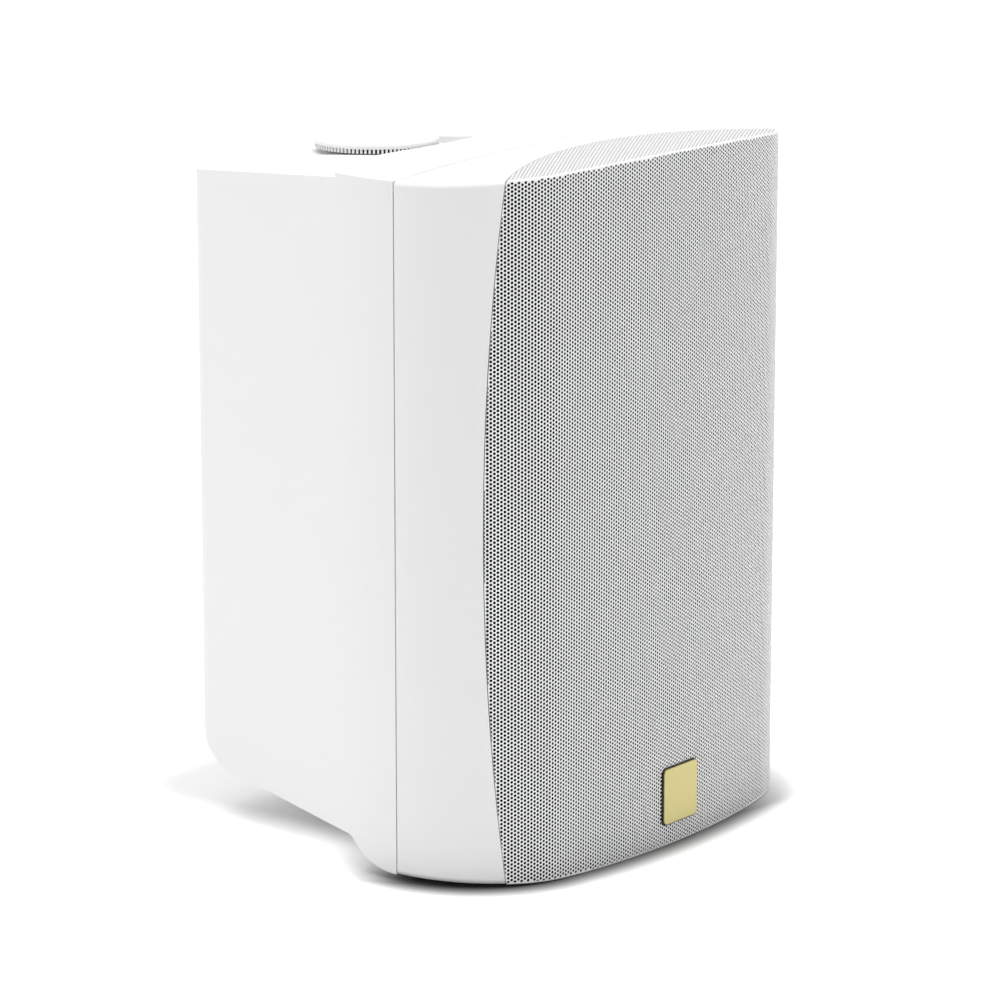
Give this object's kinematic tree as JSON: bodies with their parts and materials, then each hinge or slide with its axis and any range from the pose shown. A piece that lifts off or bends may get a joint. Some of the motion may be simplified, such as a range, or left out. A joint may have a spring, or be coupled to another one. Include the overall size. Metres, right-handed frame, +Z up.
{
  "type": "outdoor patio speaker",
  "caption": "White outdoor patio loudspeaker with a tapered rear case, curved bezel, wrapped perforated grille, gold badge plate, bracket knobs and rear terminals.",
  "frame": {"origin": "under the middle of the object's box, on the plane it stands on", "axes": "+X across the front, +Y from the grille to the back, +Z up"},
  "size_m": [0.241, 0.2, 0.3054],
  "materials": {
    "white_cabinet": "fine satin white",
    "white_grille": "white powder coat on perforated sheet",
    "dark_cloth": "black woven cloth",
    "gold_badge": "satin pale gold",
    "dark_pad": "black foam tape",
    "seal_rubber": "soft black seal",
    "screw_steel": "bright zinc",
    "basket_black": "black paint",
    "plate_steel": "zinc plated",
    "ferrite": "dark grey ferrite",
    "surround_rubber": "matt black rubber",
    "spider_cloth": "treated yellow cloth",
    "cone_plastic": "dark moulded cone",
    "coil_copper": "lacquered copper wire",
    "dome_silk": "coated black cloth",
    "black_plastic": "black moulding",
    "red_plastic": "red moulding",
    "bright_brass": "turned brass",
    "board_green": "solder mask",
    "resistor_ceramic": "white ceramic",
    "wadding_wool": "white fibre wadding"
  },
  "bodies": {
    "case": {"grille": "white_grille", "grille_cloth": "dark_cloth", "badge_pad": "dark_pad", "badge_plate": "gold_badge", "front_bezel": "white_cabinet", "seam_gasket": "seal_rubber", "rear_cabinet": "white_cabinet", "case_screws": "screw_steel", "woofer_gasket": "seal_rubber", "woofer_basket": "basket_black", "woofer_screws": "screw_steel", "woofer_front_plate": "plate_steel", "woofer_magnet": "ferrite", "woofer_yoke": "plate_steel", "woofer_surround": "surround_rubber", "woofer_spider": "spider_cloth", "tweeter_faceplate": "black_plastic", "tweeter_surround": "surround_rubber", "tweeter_top_plate": "plate_steel", "tweeter_magnet": "ferrite", "tweeter_yoke": "plate_steel", "tweeter_screws": "screw_steel", "terminal_cup": "black_plastic", "terminal_screws": "screw_steel", "red_post": "bright_brass", "red_collar": "red_plastic", "black_post": "bright_brass", "black_collar": "black_plastic", "post_nuts": "bright_brass", "crossover_board": "board_green", "crossover_screws": "screw_steel", "inductors": "coil_copper", "capacitors": "black_plastic", "resistor": "resistor_ceramic", "wadding": "wadding_wool", "top_insert": "bright_brass", "bottom_insert": "bright_brass"},
    "woofer_cone": {"woofer_cone": "cone_plastic", "dust_cap": "cone_plastic", "woofer_voice_coil": "coil_copper"},
    "tweeter_dome": {"tweeter_dome": "dome_silk", "tweeter_coil": "coil_copper"},
    "top_washer": {"top_washer": "screw_steel"},
    "top_knob": {"top_knob": "white_cabinet", "top_stud": "screw_steel"},
    "bottom_washer": {"bottom_washer": "screw_steel"},
    "bottom_knob": {"bottom_knob": "white_cabinet", "bottom_stud": "screw_steel"},
    "red_clamp_ring": {"red_clamp_ring": "bright_brass"},
    "red_cap": {"red_cap": "red_plastic"},
    "black_clamp_ring": {"black_clamp_ring": "bright_brass"},
    "black_cap": {"black_cap": "black_plastic"}
  },
  "joints": [
    {"name": "woofer_stroke", "type": "slide", "parent": "case", "child": "woofer_cone", "axis": [0, 1, 0], "range_m": [-0.004, 0.004], "stiffness_N_per_m": 1600, "deforming": ["woofer_surround", "woofer_spider"]},
    {"name": "tweeter_stroke", "type": "slide", "parent": "case", "child": "tweeter_dome", "axis": [0, 1, 0], "range_m": [-0.0004, 0.0004], "stiffness_N_per_m": 2000, "deforming": ["tweeter_surround"]},
    {"name": "top_lift", "type": "slide", "parent": "case", "child": "top_washer", "axis": [0, 0, 1], "range_m": [0, 0.00375]},
    {"name": "top_turn", "type": "hinge", "parent": "top_washer", "child": "top_knob", "pos_m": [0, 0.0685, 0.295], "axis": [0, 0, 1], "range_deg": [0, 1080]},
    {"name": "bottom_lift", "type": "slide", "parent": "case", "child": "bottom_washer", "axis": [0, 0, -1], "range_m": [0, 0.00375]},
    {"name": "bottom_turn", "type": "hinge", "parent": "bottom_washer", "child": "bottom_knob", "pos_m": [0, 0.0685, 0.012], "axis": [0, 0, -1], "range_deg": [0, 1080]},
    {"name": "red_travel", "type": "slide", "parent": "case", "child": "red_clamp_ring", "axis": [0, 1, 0], "range_m": [0, 0.0032]},
    {"name": "red_turn", "type": "hinge", "parent": "red_clamp_ring", "child": "red_cap", "pos_m": [0.0095, 0.088, 0.16797], "axis": [0, 1, 0], "range_deg": [0, 1440]},
    {"name": "black_travel", "type": "slide", "parent": "case", "child": "black_clamp_ring", "axis": [0, 1, 0], "range_m": [0, 0.0032]},
    {"name": "black_turn", "type": "hinge", "parent": "black_clamp_ring", "child": "black_cap", "pos_m": [-0.0095, 0.088, 0.16797], "axis": [0, 1, 0], "range_deg": [0, 1440]}
  ],
  "couplings": [
    {"joint": "top_lift", "follows": "top_turn", "m_per_rad": 0.00019894},
    {"joint": "bottom_lift", "follows": "bottom_turn", "m_per_rad": 0.00019894},
    {"joint": "red_turn", "follows": "red_travel", "rad_per_m": 7854},
    {"joint": "black_turn", "follows": "black_travel", "rad_per_m": 7854}
  ]
}
